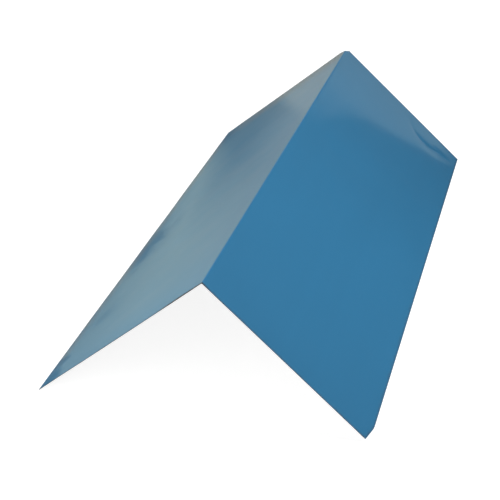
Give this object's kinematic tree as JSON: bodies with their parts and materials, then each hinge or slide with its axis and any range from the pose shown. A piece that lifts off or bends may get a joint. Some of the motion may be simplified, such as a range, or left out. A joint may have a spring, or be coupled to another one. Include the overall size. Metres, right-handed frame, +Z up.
{
  "type": "roof ridge cap",
  "caption": "Long roof ridge cap of thin painted steel sheet, folded along its middle into equal sloping wings that cover a roof's ridge and shed rain.",
  "frame": {"origin": "middle of the foot: halfway along the cap and halfway between its two free edges, at the floor", "axes": "+Y along the fold, +X across the cap, +Z up from the floor to the fold"},
  "size_m": [0.4528, 1, 0.1967],
  "materials": {
    "painted_sheet": "semi-gloss blue coil-coated paint over galvanised steel, pale grey backing coat underneath"
  },
  "bodies": {
    "root": {"ridge_cap_sheet": "painted_sheet"}
  },
  "joints": []
}
